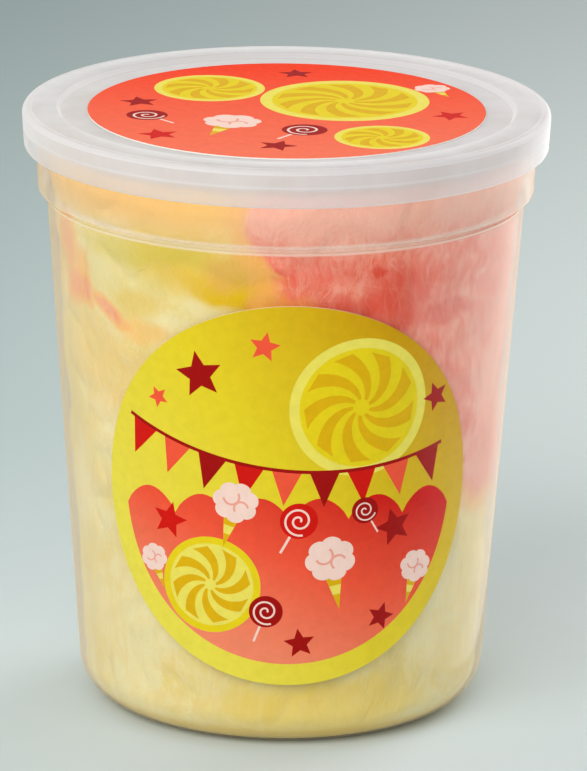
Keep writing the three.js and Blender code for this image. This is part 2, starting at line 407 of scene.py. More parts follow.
def away_from_axis(shader):
    """The level direction away from the part's axis, as light spreads evenly in the wall."""
    level = shader.add("VectorMath", {0: shader.place(), 1: (1, 1, 0)}, operation="MULTIPLY")
    return shader.add("VectorMath", {0: level.outputs[0]}, operation="NORMALIZE").outputs[0]


def lid_haze(shader, milk, height):
    """A little less milk in the skirt, and more on the slope round the panel."""
    skirt = shader.between(height, (131.3, LIP_UNDERSIDE), 0.8, 1.0)
    slope = shader.off(height, (PANEL_TOP + LID_TOP) / 2)
    return shader.math("ADD", shader.math("MULTIPLY", milk, skirt),
                       shader.between(slope, (0.4, 0.6), 0.3, 0.0))


def clear_inside():
    """The inner faces of the tub and the lid, which only glint."""
    shader = Shader("tub_inside")
    clear = shader.add("BsdfTransparent", {"Color": (1, 1, 1, 1)}).outputs[0]
    glint = shader.ranged(shader.edge_on(4.0), 0.0, 1.0, 0.004, 0.08)
    return shader.finish(shader.mixed(glint, clear, shader.shiny(0.25, shader.rippled())))


def plastic_piece(name, profile, slots, skin):
    """A turned piece, with the skin in slot 0 and the clear inside in slot 1."""
    mesh = turned_mesh(name, profile, PLASTIC_FACETS, slots)
    mesh.set_sharp_from_angle(angle=SHARP_ANGLE)
    mesh.materials.append(skin)
    mesh.materials.append(clear_inside())
    piece = new_object(name, mesh)
    piece.visible_shadow = False
    return piece


# ---------- tub

def tub_face(depth, steps):
    """The tub's face from the middle of the base to the top of the collar, set in by a
    depth: 0 is the outside and WALL the inside."""
    lean = math.degrees(DRAFT)
    size = BASE_ROUNDING - depth
    foot = corner(BASE_RADIUS - BASE_ROUNDING, BASE_ROUNDING, size, -90, -lean, steps)
    shoulder = SHOULDER_RADIUS - depth
    collar = COLLAR_RADIUS - depth
    bend = SHOULDER_ROUNDING
    return [
        (0, depth),
        *foot,
        (shoulder, SHOULDER_HEIGHT),
        (shoulder + bend * 0.35, SHOULDER_HEIGHT + bend * 0.65),
        (shoulder + bend, SHOULDER_HEIGHT + bend * 1.05),
        (collar - bend, COLLAR_HEIGHT - bend * 1.05),
        (collar - bend * 0.35, COLLAR_HEIGHT - bend * 0.65),
        (collar, COLLAR_HEIGHT),
        (NECK_RADIUS - depth, LIP_UNDERSIDE - WALL),
    ]


def make_tub():
    size = RIM_ROUNDING
    lip = [
        (LIP_RADIUS, LIP_UNDERSIDE),
        *corner(LIP_RADIUS - size, RIM_HEIGHT - size, size, 0, 90, 6),
        *corner(NECK_RADIUS - WALL + size, RIM_HEIGHT - size, size, 90, 180, 6),
    ]
    outside = tub_face(0, 20)
    inside = tub_face(WALL, 20)[::-1]
    profile = outside + lip + inside
    turning_point = len(outside) + len(lip) - 1
    slots = [int(row >= turning_point) for row in range(len(profile) - 1)]
    # The milk's tint is warmer seen edge-on: painted light, the floss's colour that the wall
    # scatters.
    piece = plastic_piece("plastic_tub", profile, slots, milky_plastic(
        "tub_plastic", (rgb(252, 240, 224), rgb(253, 229, 192)), (0.002, 0.88), 0.4,
        (0.1, 0.009, 0.13), ((SHOULDER_HEIGHT + 0.1, 0.65, 0.6), (COLLAR_HEIGHT, 0.45, 0.16)),
        tub_haze, away_from_axis))
    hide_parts("tub")
    return piece


# ---------- lid

def make_lid():
    size = LID_EDGE_ROUNDING
    inside = LID_RADIUS - LID_SKIN
    hem = LID_RADIUS - SKIRT_TAPER
    fillet = LID_FILLET
    half = fillet / 2
    groove = RING_GROOVE_RADIUS
    top = [
        (0, PANEL_TOP),
        (PANEL_RADIUS - fillet, PANEL_TOP),
        (PANEL_RADIUS, PANEL_TOP + 0.04),
        (PANEL_RADIUS + half, PANEL_TOP + 0.16),
        (RING_INNER_RADIUS - half * 1.3, LID_TOP - 0.2),
        (RING_INNER_RADIUS - half * 0.6, LID_TOP - 0.06),
        (RING_INNER_RADIUS, LID_TOP),
        (groove - 0.35, LID_TOP),
        (groove - 0.1, LID_TOP - RING_GROOVE_DEPTH),
        (groove + 0.1, LID_TOP - RING_GROOVE_DEPTH),
        (groove + 0.35, LID_TOP - 0.02),
    ]
    edge = corner(LID_RADIUS - size, LID_TOP - size, size, 88, 0, 10)
    skirt = [
        (hem, SKIRT_BOTTOM + fillet),
        (hem - 0.12, SKIRT_BOTTOM + 0.12),
        (hem - fillet, SKIRT_BOTTOM),
        (hem - LID_SKIN, SKIRT_BOTTOM),
        (inside - half, LID_BEAD_HEIGHT - LID_BEAD_HALF),
        (LID_BEAD_RADIUS, LID_BEAD_HEIGHT - LID_BEAD_CREST),
        (LID_BEAD_RADIUS, LID_BEAD_HEIGHT + LID_BEAD_CREST),
        (inside, LID_BEAD_HEIGHT + LID_BEAD_HALF),
        (inside, LID_TOP - size),
        (LID_RADIUS - size, LID_TOP - LID_SKIN),
    ]
    underside = [
        (RING_INNER_RADIUS + fillet, LID_TOP - LID_SKIN),
        (PANEL_RADIUS + fillet, PANEL_TOP - LID_SKIN),
        (0, PANEL_TOP - LID_SKIN),
    ]
    profile = (top + edge + skirt + underside)[::-1]
    turning_point = len(underside) + len(skirt) - 4
    slots = [int(row < turning_point) for row in range(len(profile) - 1)]
    piece = plastic_piece("plastic_lid", profile, slots, milky_plastic(
        "lid_plastic", (rgb(223, 220, 221), rgb(255, 254, 255)), (0.8, 0.99), 0.3,
        (0.32, 0.012, 0.12), ((SKIRT_BOTTOM, 0.45, 0.35), (LIP_UNDERSIDE, 0.45, 0.12)),
        lid_haze))
    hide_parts("lid")
    return piece


# ---------- printed stickers

PRINT = {
    "yellow": rgb(229, 203, 24),
    "pale_yellow": rgb(234, 218, 92),
    "golden": rgb(220, 172, 12),
    "coral": rgb(238, 84, 56),
    "red": rgb(208, 20, 12),
    "dark_red": rgb(158, 12, 10),
    "pale_pink": rgb(243, 208, 194),
    "rose": rgb(236, 160, 142),
    "paper": rgb(240, 238, 232),
}
GRADED_PRINT_AND_PAINTED_LIGHT = {  # the direction of the change, its start and end in mm, three colours; on the front sticker the change is partly print and partly painted sheen and shade
    "ground": ((0.8, 0, 0.6), 0, 78, rgb(232, 216, 76), rgb(226, 202, 36), rgb(204, 152, 6)),
    "field": ((0.4, 0, 1), 22, 70, rgb(240, 132, 98), rgb(238, 84, 56), rgb(204, 10, 6)),
    "lid_ground": ((0, 1, 0), -40, 40, rgb(243, 113, 82), rgb(242, 94, 63), rgb(244, 58, 14)),
}


def moved(outline, place, turn=0.0, size=1.0):
    """An outline turned (degrees), scaled and moved."""
    c = math.cos(math.radians(turn)) * size
    s = math.sin(math.radians(turn)) * size
    return [(place[0] + c * x - s * y, place[1] + s * x + c * y) for x, y in outline]


def placed(shapes, place, turn=0.0, size=1.0):
    return [(moved(outline, place, turn, size), colour) for outline, colour in shapes]


def anticlockwise(outline):
    after = outline[1:] + outline[:1]
    area = sum(x0 * y1 - x1 * y0 for (x0, y0), (x1, y1) in zip(outline, after))
    return outline if area > 0 else outline[::-1]


def round_outline(radius, steps=64):
    return [polar(radius, 2 * math.pi * i / steps) for i in range(steps)]


def star_outline(radius, inner=0.46, tips=5):
    reaches = (radius, radius * inner)
    return [polar(reaches[i % 2], math.pi * i / tips + math.pi / 2) for i in range(2 * tips)]


def cloud_outline(width, height, lobes, steps=9):
    """A puff: an ellipse with a ring of round lobes."""
    outline = []
    for i in range(lobes * steps):
        angle = 2 * math.pi * i / (lobes * steps)
        swell = 1 + 0.16 * abs(math.sin(lobes * angle / 2)) ** 0.7
        outline.append((width / 2 * swell * math.cos(angle), height / 2 * swell * math.sin(angle)))
    return outline


def band_outline(curve, width):
    """A band of even width along a curve of points."""
    left, right = [], []
    for i, (x, y) in enumerate(curve):
        ahead = curve[min(i + 1, len(curve) - 1)]
        behind = curve[max(i - 1, 0)]
        dx, dy = ahead[0] - behind[0], ahead[1] - behind[1]
        length = math.hypot(dx, dy)
        nx, ny = -dy / length * width / 2, dx / length * width / 2
        left.append((x + nx, y + ny))
        right.append((x - nx, y - ny))
    return left + right[::-1]


def pinwheel_candy(place, radius, blades, turn, colours):
    """A round boiled sweet with curved blades, a rim and a small middle."""
    rim, ground, blade = colours
    shapes = [(round_outline(radius, 72), rim), (round_outline(radius * 0.86, 72), ground)]
    steps = 10
    inner, outer = radius * 0.12, radius * 0.8
    for k in range(blades):
        start = 360 * k / blades + turn
        sides = []
        for lag in (0, 0.52 * 360 / blades):
            shares = [i / steps for i in range(steps + 1)]
            sides.append([polar(inner + (outer - inner) * share,
                                math.radians(start + lag + 50 * share)) for share in shares])
        shapes.append((sides[0] + sides[1][::-1], blade))
    return placed(shapes, place)


def floss_on_cone(place, size, turn):
    """A puff of floss on a paper cone, with a few curls on the puff."""
    cone = [(-1.5, -1.2), (1.5, -1.2), (0, -7.6)]
    stripe = [(-1.05, -3.1), (1.02, -3.1), (0.62, -4.8), (-0.64, -4.8)]
    puff = [(x, y + 1.8) for x, y in cloud_outline(7.6, 7.0, 7)]
    shapes = [(cone, "golden"), (stripe, "pale_yellow"), (puff, "pale_pink")]
    for cx, cy, reach, start in ((-1.0, 2.6, 1.5, 200), (1.3, 0.9, 1.3, 20)):
        arc = [polar(reach, math.radians(start + 17 * i)) for i in range(13)]
        curl = [(cx + x, cy + y) for x, y in arc]
        shapes.append((band_outline(curl, 0.42), "rose"))
    return placed(shapes, place, turn, size)


def lollipop(place, size, turn, colour):
    """A round lollipop with a pale spiral and a stick."""
    stick = [(-0.3, -9), (0.3, -9), (0.3, -2), (-0.3, -2)]
    spiral = [polar(0.35 + 3.3 * i / 48, math.radians(14 * i)) for i in range(49)]
    shapes = [(stick, "pale_pink"), (round_outline(4.4, 48), colour),
              (band_outline(spiral, 0.5), "pale_pink")]
    return placed(shapes, place, turn, size)


def bunting(left, right, sag, flags, size):
    """A hanging line of pennants between two points."""
    def on_line(share):
        x = left[0] + (right[0] - left[0]) * share
        y = left[1] + (right[1] - left[1]) * share
        return x, y - 4 * sag * share * (1 - share)

    curve = [on_line(i / 40) for i in range(41)]
    shapes = []
    for k in range(flags):
        share = (k + 0.5) / flags
        x, y = on_line(share)
        lean = math.degrees(math.atan2(
            on_line(share + 0.01)[1] - on_line(share - 0.01)[1],
            on_line(share + 0.01)[0] - on_line(share - 0.01)[0]))
        flag = [(-size * 0.42, 0.2), (size * 0.42, 0.2), (0, -size)]
        colour = ("red", "coral", "dark_red")[k % 3]
        shapes.append((moved(flag, (x, y), lean), colour))
    shapes.append((band_outline(curve, 0.8), "dark_red"))
    return shapes


def small_motifs(stars, cones, lollipops):
    """The shapes of stars, puffs of floss on cones, and lollipops."""
    shapes = [(moved(star_outline(radius), place, turn), colour)
              for place, radius, turn, colour in stars]
    for cone in cones:
        shapes += floss_on_cone(*cone)
    for sweet in lollipops:
        shapes += lollipop(*sweet)
    return shapes


def front_print():
    """The front sticker's fields and motifs, in mm from its middle, the last on top."""
    shapes = [(round_outline(STICKER_RADIUS, 160), "ground")]
    ring = STICKER_RADIUS - 5.0
    field = [polar(ring, math.radians(-172 + 164 * i / 80)) for i in range(81)]
    brow = []
    lobes = 6
    start, end = field[-1], field[0]
    for i in range(1, lobes * 12):
        share = i / (lobes * 12)
        x = start[0] + (end[0] - start[0]) * share
        y = start[1] + 5.2 * abs(math.sin(math.pi * lobes * share)) ** 0.75
        brow.append((x, y))
    shapes.append((field + brow, "field"))
    shapes += pinwheel_candy((15.5, 20.5), 16.0, 9, 10, ("pale_yellow", "yellow", "golden"))
    shapes += pinwheel_candy((-17.5, -21.5), 11.3, 8, 0, ("yellow", "pale_yellow", "golden"))
    shapes += bunting((-38.0, 16.0), (36.5, 9.5), 6.5, 9, 8.2)
    return shapes + small_motifs(stars=(
        ((-20.5, 27.5), 5.6, 12, "dark_red"),
        ((-6.0, 35.0), 3.6, -10, "coral"),
        ((34.5, 20.5), 3.6, 20, "dark_red"),
        ((24.0, -8.5), 4.6, 15, "dark_red"),
        ((-27.5, -7.5), 4.4, -12, "red"),
        ((2.5, -34.5), 3.6, 8, "dark_red"),
        ((21.0, -29.5), 3.4, -18, "dark_red"),
        ((-30.5, 21.0), 2.6, 30, "coral"),
    ), cones=(
        ((-12.5, -3.6), 1.18, -14),
        ((9.5, -17.0), 1.3, 10),
        ((29.5, -20.5), 0.95, -16),
        ((-31.0, -18.5), 0.8, 22),
    ), lollipops=(
        ((2.0, -5.5), 0.95, -28, "red"),
        ((-5.0, -27.0), 0.85, -20, "dark_red"),
        ((16.8, -3.8), 0.7, 30, "dark_red"),
    ))


def lid_print():
    """The lid sticker's fields and motifs, in mm from its middle, the last on top."""
    shapes = [(round_outline(STICKER_RADIUS, 160), "lid_ground")]
    candy = ("pale_yellow", "yellow", "golden")
    shapes += pinwheel_candy((13.0, 9.0), 19.0, 10, 0, candy)
    shapes += pinwheel_candy((-17.5, 19.5), 12.5, 8, 20, candy)
    shapes += pinwheel_candy((21.0, -24.5), 10.5, 8, 5, candy)
    return shapes + small_motifs(stars=(
        ((-33.0, 6.0), 4.6, 10, "dark_red"),
        ((-2.0, -33.0), 4.6, -20, "dark_red"),
        ((36.5, -4.0), 4.4, 30, "red"),
        ((2.0, 34.5), 4.2, 5, "dark_red"),
        ((-28.0, -24.0), 4.8, 15, "red"),
    ), cones=(
        ((-13.0, -14.0), 1.5, -20),
        ((33.5, 20.0), 0.95, 25),
    ), lollipops=(
        ((-31.0, -6.5), 1.05, 40, "dark_red"),
        ((4.0, -18.5), 1.15, -35, "dark_red"),
    ))


def print_material(name, gloss_roughness, gloss):
    """Ink on satin paper: a faint mottle in the colour and a fine grain in the gloss."""
    shader = Shader("print_" + name)
    # Graded inks: on the front sticker partly the print and partly painted sheen and shade, paler
    # where the gloss catches light and darker on the shaded side.
    if name in GRADED_PRINT_AND_PAINTED_LIGHT:
        direction, start, end, low, middle, high = GRADED_PRINT_AND_PAINTED_LIGHT[name]
        along = shader.add("VectorMath", {0: shader.place(), 1: direction},
                           operation="DOT_PRODUCT").outputs["Value"]
        halfway = (start + end) / 2 * MM
        ink = shader.blend(shader.ranged(along, start * MM, halfway), low, middle)
        ink = shader.blend(shader.ranged(along, halfway, end * MM), ink, high)
    else:
        ink = PRINT[name]
    mottle = shader.noise(420.0, 3.0, 0.6)
    darker = shader.add("VectorMath", {0: ink[:3] if name in PRINT else ink,
                                       1: (0.93, 0.93, 0.93)}, operation="MULTIPLY")
    ink = shader.blend(shader.ranged(mottle, 0.35, 0.7), ink, darker.outputs[0])
    grain = shader.noise(700.0, 2.0, 0.5)
    bsdf = shader.add("BsdfPrincipled", {
        "Base Color": ink,
        "Roughness": shader.ranged(grain, 0.3, 0.7, gloss_roughness, gloss_roughness + 0.1),
        "Specular IOR Level": gloss,
        "Normal": shader.bump(grain, 0.02, 0.00002),
    })
    return shader.finish(bsdf.outputs[0])


def make_sticker(name, shapes, on_surface, finish, node):
    """A printed sticker: its shapes are triangulated together, one material a shape, and
    bent on to the surface by on_surface(across, up, lift), which also gives the normal."""
    points, outlines = [], []
    for outline, _ in shapes:
        outline = anticlockwise(outline)
        outlines.append(list(range(len(points), len(points) + len(outline))))
        points.extend(Vector(p) for p in outline)
    spacing = 2.2
    reach = int(STICKER_RADIUS / spacing)
    for row in range(-reach, reach + 1):
        for column in range(-reach, reach + 1):
            x = (column + 0.5 * (row % 2)) * spacing
            y = row * spacing * 0.87
            if math.hypot(x, y) < STICKER_RADIUS - spacing / 2:
                points.append(Vector((x, y)))
    flat, _, triangles, _, _, owners = delaunay_2d_cdt(points, [], outlines, 1, 1e-5, True)
    kept = [(t, max(o)) for t, o in zip(triangles, owners) if 0 in o]
    names = sorted({colour for _, colour in shapes})
    count = len(flat)
    places, normals = [], []
    for lift in (STICKER_GAP + STICKER_THICKNESS, STICKER_GLUE):
        for p in flat:
            place, normal = on_surface(p[0], p[1], lift)
            places.append(tuple(c * MM for c in place))
            normals.append(normal)
    faces = [tuple(t) for t, _ in kept]
    slots = [names.index(shapes[owner][1]) for _, owner in kept]
    used = dict.fromkeys((a, b) for t in faces for a, b in zip(t, t[1:] + t[:1]))
    rim = [(a, b) for a, b in used if (b, a) not in used]
    faces += [tuple(v + count for v in reversed(t)) for t, _ in kept]
    faces += [(b, a, a + count, b + count) for a, b in rim]
    slots += [len(names)] * (len(kept) + len(rim))
    mesh = bpy.data.meshes.new(name)
    mesh.from_pydata(places, [], faces)
    for ink in names:
        mesh.materials.append(print_material(ink, *finish))
    mesh.materials.append(print_material("paper", *finish))
    mesh.polygons.foreach_set("material_index", slots)
    mesh.update()
    mesh.shade_smooth()
    mesh.normals_split_custom_set([
        normals[vertex] if polygon.index < len(kept) else tuple(polygon.normal)
        for polygon in mesh.polygons for vertex in polygon.vertices])
    piece = new_object(name, mesh)
    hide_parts(node)
    return piece


def on_lid(across, up, lift):
    return (across, up, PANEL_TOP + lift), (0, 0, 1)


def on_wall(across, up, lift):
    height = FRONT_STICKER_HEIGHT + up * math.cos(DRAFT)
    radius = wall_radius(height)
    angle = across / radius + FRONT_STICKER_TURN - math.pi / 2
    reach = radius + lift
    c, s = math.cos(angle), math.sin(angle)
    lean = math.cos(DRAFT)
    return (reach * c, reach * s, height), (c * lean, s * lean, -math.sin(DRAFT))


def make_stickers():
    return [
        make_sticker("printed_lid_sticker", lid_print(), on_lid, (0.6, 0.12),
                     "lid_sticker"),
        make_sticker("printed_front_sticker", front_print(), on_wall, (0.26, 0.07),
                     "front_sticker"),
    ]


# ---------- floss

FLOSS = {  # the colours of the floss's colour field, with shine a painted highlight and tan a painted shade
    "cream": rgb(237, 223, 168),
    "pale": rgb(242, 234, 186),
    "straw": rgb(231, 209, 132),
    # shine is a painted highlight: the pale ring where the tub's shoulder lights the floss
    "shine": rgb(246, 230, 214),
    # tan is a painted shade: the lid's shade on the floss's top
    "tan": rgb(150, 120, 94),
    "honey": rgb(242, 204, 124),
    "mustard": rgb(226, 182, 0),
    "ochre": rgb(222, 168, 76),
    "olive": rgb(212, 190, 62),
    "amber": rgb(232, 199, 70),
    "apricot": rgb(249, 187, 90),
    "salmon": rgb(252, 186, 164),
    "rose": rgb(246, 158, 136),
    "coral": rgb(240, 114, 86),
    "red": rgb(224, 62, 36),
    "orange": rgb(244, 160, 60),
}


def divided(profile, step):
    """Adds points so that no two neighbours lie further apart than a step."""
    result = [profile[0]]
    for (r0, h0), (r1, h1) in zip(profile, profile[1:]):
        count = max(1, math.ceil(math.hypot(r1 - r0, h1 - h0) / step))
        for j in range(1, count + 1):
            share = j / count
            result.append((r0 + (r1 - r0) * share, h0 + (h1 - h0) * share))
    return result


def floss_profile(step):
    """The floss's outline when it presses against the wall all over."""
    outline = tub_face(WALL + CLEARANCE, 12)[:15]
    outline.append((COLLAR_RADIUS - WALL - CLEARANCE, SHOULDER_HEIGHT + FLOSS_SHOULDER))
    sunk = tub_face(SUNK_DEPTH, 12)
    for i, (_, height) in enumerate(outline[:14]):
        share = min(max(height / BASE_ROUNDING - 0.1, 0), 1)
        outline[i] = tuple(a + (b - a) * share for a, b in zip(sunk[i], outline[i]))
    collar = outline[-1][0]
    size = FLOSS_EDGE_ROUNDING
    brim = corner(collar - size, FLOSS_TOP - size, size, 0, 90, 8)
    return divided(outline + brim + [(0, FLOSS_TOP)], step)


def folds(x, y, z):
    """How deep the floss lies at a place, from 0 on a puff to over 1 in a deep crease."""
    place = Vector((x, y, z))
    warp = noise.noise_vector(place / SWIRL_SIZE) * SWIRL_REACH
    soft = noise.fractal((place + warp) / PUFF_SIZE, 1.0, 2.0, 2)
    ridge = noise.noise((place + warp * 1.4) / CREASE_SIZE + Vector((7, 3, 1)))
    crease = 1 - math.hypot(ridge, 0.08) * 3.2
    fine = noise.fractal(place / FINE_LUMP_SIZE, 0.8, 2.1, 2)
    depth = 0.3 + 0.4 * soft + 0.42 * max(crease, 0) ** 1.5 + 0.05 * fine
    return min(max(depth, 0.0), DEEPEST_FOLD)


def filling_mesh():
    """All the floss as one body with an uneven skin of puffs and creases."""
    profile = floss_profile(FLOSS_ROW)
    mesh = turned_mesh("filling", profile, FLOSS_COLUMNS)
    for vertex in mesh.vertices:
        x, y, z = vertex.co / MM
        radius = math.hypot(x, y)
        if radius < 1e-3:
            continue
        depth = folds(x, y, z)
        side = min(max((z - 2) / BASE_ROUNDING, 0), 1)
        over = min(max((z - FLOSS_TOP + FLOSS_EDGE_ROUNDING) / FLOSS_EDGE_ROUNDING, 0), 1)
        middle = min(radius / 12, 1)
        shrink = 1 - SIDE_RELIEF * depth * side * middle / max(radius, 1)
        drop = TOP_RELIEF * depth * over
        vertex.co = Vector((x * shrink, y * shrink, z - drop)) * MM
    return mesh


def blob(name, subdivisions, moved_to):
    """A unit ball with its points moved to the places that moved_to(point) gives."""
    mesh = bpy.data.meshes.new(name)
    ball = bmesh.new()
    bmesh.ops.create_icosphere(ball, subdivisions=subdivisions, radius=1)
    for vertex in ball.verts:
        vertex.co = moved_to(vertex.co)
    ball.to_mesh(mesh)
    ball.free()
    return new_object(name, mesh)


def pink_ball():
    """The ball that holds the pink floss, pushed in and out by lumps."""
    def moved_to(point):
        swell = 1 + 0.07 * noise.fractal(point * 2.3, 0.9, 2.0, 3)
        return [(c * swell * s + m) * MM for c, s, m in zip(point, PINK_SIZE, PINK_CENTRE)]
    return blob("ball", 5, moved_to)


def wisp_lump(turn, height, lean, size):
    """One of the lumps that hold the pink wisp, just inside the wall."""
    stretch = Matrix.Diagonal((size[0], size[1], size[2], 1))
    leaning = Matrix.Rotation(math.radians(lean), 4, "X")
    inwards = Matrix.Translation((wall_radius(height) - WALL - WISP_DEPTH, 0, height))
    turning = Matrix.Rotation(math.radians(turn - 90), 4, "Z")

    def moved_to(point):
        swell = 1 + 0.16 * noise.fractal(point * 2 + Vector((turn, 0, 0)), 0.9, 2.0, 2)
        return turning @ inwards @ leaning @ stretch @ (point * swell) * MM
    return blob("lump", 4, moved_to)


def boolean(piece, cutter, operation):
    """Cuts or joins a piece by another one, which stays."""
    modifier = piece.modifiers.new("cut", "BOOLEAN")
    modifier.operation = operation
    modifier.solver = "MANIFOLD"
    modifier.object = cutter
    graph = bpy.context.evaluated_depsgraph_get()
    mesh = bpy.data.meshes.new_from_object(piece.evaluated_get(graph))
    piece.modifiers.clear()
    piece.data = mesh


def on_skin(turn, height):
    """The place on the floss's skin at a turn from the front (degrees) and a height."""
    radius = wall_radius(height) - WALL - CLEARANCE
    return (*polar(radius, math.radians(turn - 90)), height)


def floss_colour(shader, fibres):
    """The floss's colour field: yellow, and pink inside the lumpy ball and the wisp, with
    soft edges, blots where the sugar is wetter, besides an amber one at the foot that is
    painted light, darker and richer colour in the creases that is partly painted shade,
    warmer colour near the collar that is partly painted light, a paler foot that is painted
    light, a painted pale ring where the tub's shoulder lights it, and the lid's painted
    shade on top."""
    def stain(vector, turn, height, lean, size):
        return shader.reach(vector, on_skin(turn, height), turn - 90, lean, (STAIN_DEPTH, *size))

    x, y, z = shader.add("SeparateXYZ", {0: shader.place()}).outputs
    cloud = shader.noise(52.0, 4.0, 0.6, distortion=0.5)
    puffs = shader.ranged(cloud, 0.38, 0.64, smooth=True)
    yellow = shader.blend(puffs, FLOSS["straw"], FLOSS["cream"])
    pink = shader.blend(puffs, FLOSS["coral"], FLOSS["rose"])
    tufts = shader.noise(170.0, 3.0, 0.6, distortion=0.4)
    for field, low, high, pink_share, pink_ink, yellow_share, yellow_ink in (
        (tufts, 0.46, 0.62, 0.35, "salmon", 0.28, "honey"),
        (fibres[0], 0.47, 0.62, 0.35, "red", 0.2, "pale"),
        (fibres[1], 0.5, 0.64, 0.35, "salmon", 0.14, "amber"),
    ):
        pink = shader.blend(shader.ranged(field, low, high, 0.0, pink_share), pink,
                            FLOSS[pink_ink])
        yellow = shader.blend(shader.ranged(field, low, high, 0.0, yellow_share), yellow,
                              FLOSS[yellow_ink])
    near = shader.shaken(60.0, 0.008)
    ragged = shader.shaken(150.0, 0.009)
    for turn, height, size, colour, strength in BLOTS:
        in_pink = colour in ("red", "orange")
        off = stain(ragged if in_pink else near, turn, height, 0, size)
        share = shader.ranged(off, 0.4, 1.15, strength, 0.0, True)
        if in_pink:
            pink = shader.blend(share, pink, FLOSS[colour])
        else:
            yellow = shader.blend(share, yellow, FLOSS[colour])
    # Warmer near the collar: partly the floss's colour, partly painted light that comes through
    # the milky lid.
    yellow = shader.blend(shader.between(z, YELLOW_WARMS, 0.0, 0.85), yellow, FLOSS["apricot"])
    pink = shader.blend(shader.between(z, PINK_WARMS, 0.0, 0.8), pink, FLOSS["salmon"])
    # A paler foot: painted light, brightening the base where it faces down and gets little light.
    yellow = shader.blend(shader.between(z, PALE_FOOT, 0.45, 0.0), yellow, FLOSS["pale"])
    ball = shader.reach(shader.shaken(42.0, 0.022), PINK_CENTRE, 0, 0, PINK_SIZE)
    share = shader.ranged(ball, 0.97, 1.11, 1.0, 0.0, True)
    for turn, height, lean, size, strength in PINK_STAINS:
        off = stain(near, turn, height, lean, size)
        share = shader.math("MAXIMUM", share, shader.ranged(off, 0.3, 1.1, strength, 0.0, True))
    share = shader.math("MINIMUM", share, 1.0)
    colour = shader.blend(share, yellow, pink)
    middle = shader.math("MULTIPLY", share, shader.math("SUBTRACT", 1.0, share))
    colour = shader.blend(shader.math("MULTIPLY", middle, 2.4), colour, FLOSS["apricot"])
    across = shader.math("SQRT", shader.math(
        "ADD", shader.math("MULTIPLY", x, x), shader.math("MULTIPLY", y, y)))
    wall = shader.math("ADD", shader.math("MULTIPLY", z, math.tan(DRAFT)), (
        BASE_RADIUS - BASE_ROUNDING * math.tan(DRAFT) - WALL) * MM)
    gap = shader.math("SUBTRACT", wall, across)
    # Darker, richer colour in the creases and recesses: partly the floss's denser colour, partly
    # painted shade.
    deep = shader.blend(share, FLOSS["mustard"], FLOSS["red"])
    colour = shader.blend(shader.between(gap, (0.7, 2.2), 0.0, 0.5), colour, deep)
    # Painted highlight: a pale ring where the tub's shoulder lights the floss.
    ring = shader.between(shader.off(z, SHINE_HEIGHT), (0.4, 1.3), 0.5, 0.0)
    colour = shader.blend(ring, colour, FLOSS["shine"])
    # Painted shade: the lid's shade on the floss's top, turning it towards tan.
    return shader.blend(shader.between(z, LID_SHADE, 0.0, 0.8), colour, FLOSS["tan"])


def floss_fibres(shader):
    """Two sets of fine streaks, leaning one way and the other."""
    return [shader.noise(1.0, 4.0, 0.65, shader.add("Mapping", {
        "Vector": shader.shaken(70.0, 0.012),
        "Rotation": (math.radians(lean), math.radians(lean), 0),
        "Scale": scale}).outputs[0])
        for lean, scale in ((24, (950, 950, 210)), (-38, (560, 560, 150)))]


def floss_shader(name):
    """Spun sugar seen as a mass."""
    shader = Shader(name)
    fibres = floss_fibres(shader)
    bsdf = shader.add("BsdfPrincipled", {
        "Base Color": floss_colour(shader, fibres),
        "Roughness": 0.95,
        "Specular IOR Level": 0.05,
        "Sheen Weight": 0.03,
        "Sheen Roughness": 0.6,
        "Normal": shader.bump(shader.math("ADD", *fibres), 0.4, 0.0005),
    })
    return shader.finish(bsdf.outputs[0])


def thread_shader(name):
    """Single threads of spun sugar, a little paler than the mass."""
    shader = Shader(name)
    colour = floss_colour(shader, floss_fibres(shader))
    bsdf = shader.add("BsdfPrincipled", {
        "Base Color": shader.blend(0.25, colour, FLOSS["pale"]),
        "Roughness": 0.6,
        "Specular IOR Level": 0.2,
    })
    return shader.finish(bsdf.outputs[0])


def pinkness(x, y, z):
    """Over 1 in the ball that holds the pink floss, under 1 outside it."""
    offsets = [(p - c) / s for p, c, s in zip((x, y, z), PINK_CENTRE, PINK_SIZE)]
    return 1 / max(math.sqrt(sum(o * o for o in offsets)), 0.01)


def skin_line():
    """The length of the floss's outline, and a function that gives the radius and height
    at a distance along it."""
    profile = np.array(floss_profile(1.0))
    along = np.concatenate([[0], np.cumsum(np.hypot(*np.diff(profile, axis=0).T))])
    return along[-1], lambda spot: [np.interp(spot, along, side) for side in profile.T]


def thread_path(random, length, at, spot, angle):
    """One thread's knots: it runs over the floss's skin, mostly up and down, with both ends
    a little deeper than its middle."""
    radius, height = at(spot)
    middle = Vector((*polar(radius, angle), height))
    shares = np.linspace(-0.5, 0.5, THREAD_KNOTS)
    flow = noise.noise(middle / 26) * 1.9 + random.normal(0, 0.45)
    heading = math.pi / 2 + flow + random.normal(0, 0.9) * shares
    step = random.uniform(*THREAD_LENGTH) / THREAD_KNOTS
    ahead = np.cumsum(np.sin(heading)) * step
    aside = np.cumsum(np.cos(heading)) * step
    half = THREAD_KNOTS // 2
    radii, heights = at(np.clip(spot + ahead - ahead[half], 6, length - 4))
    angles = angle + (aside - aside[half]) / np.maximum(radii, 8)
    depth = abs(random.normal(0, 0.35)) + random.uniform(0, 0.6) * (2 * shares) ** 2
    skin = [folds(*polar(r, a), h) for r, a, h in zip(radii, angles, heights)]
    on_top = heights > FLOSS_TOP - 2
    lower = np.array(skin) * np.where(on_top, TOP_RELIEF, SIDE_RELIEF) + depth - THREAD_LIFT
    lower = np.maximum(lower, 0.05)
    heights = np.where(on_top, heights - lower, heights)
    radii = np.where(on_top, radii, np.maximum(radii - lower, 0.5))
    return np.stack([radii * np.cos(angles), radii * np.sin(angles), heights], 1)


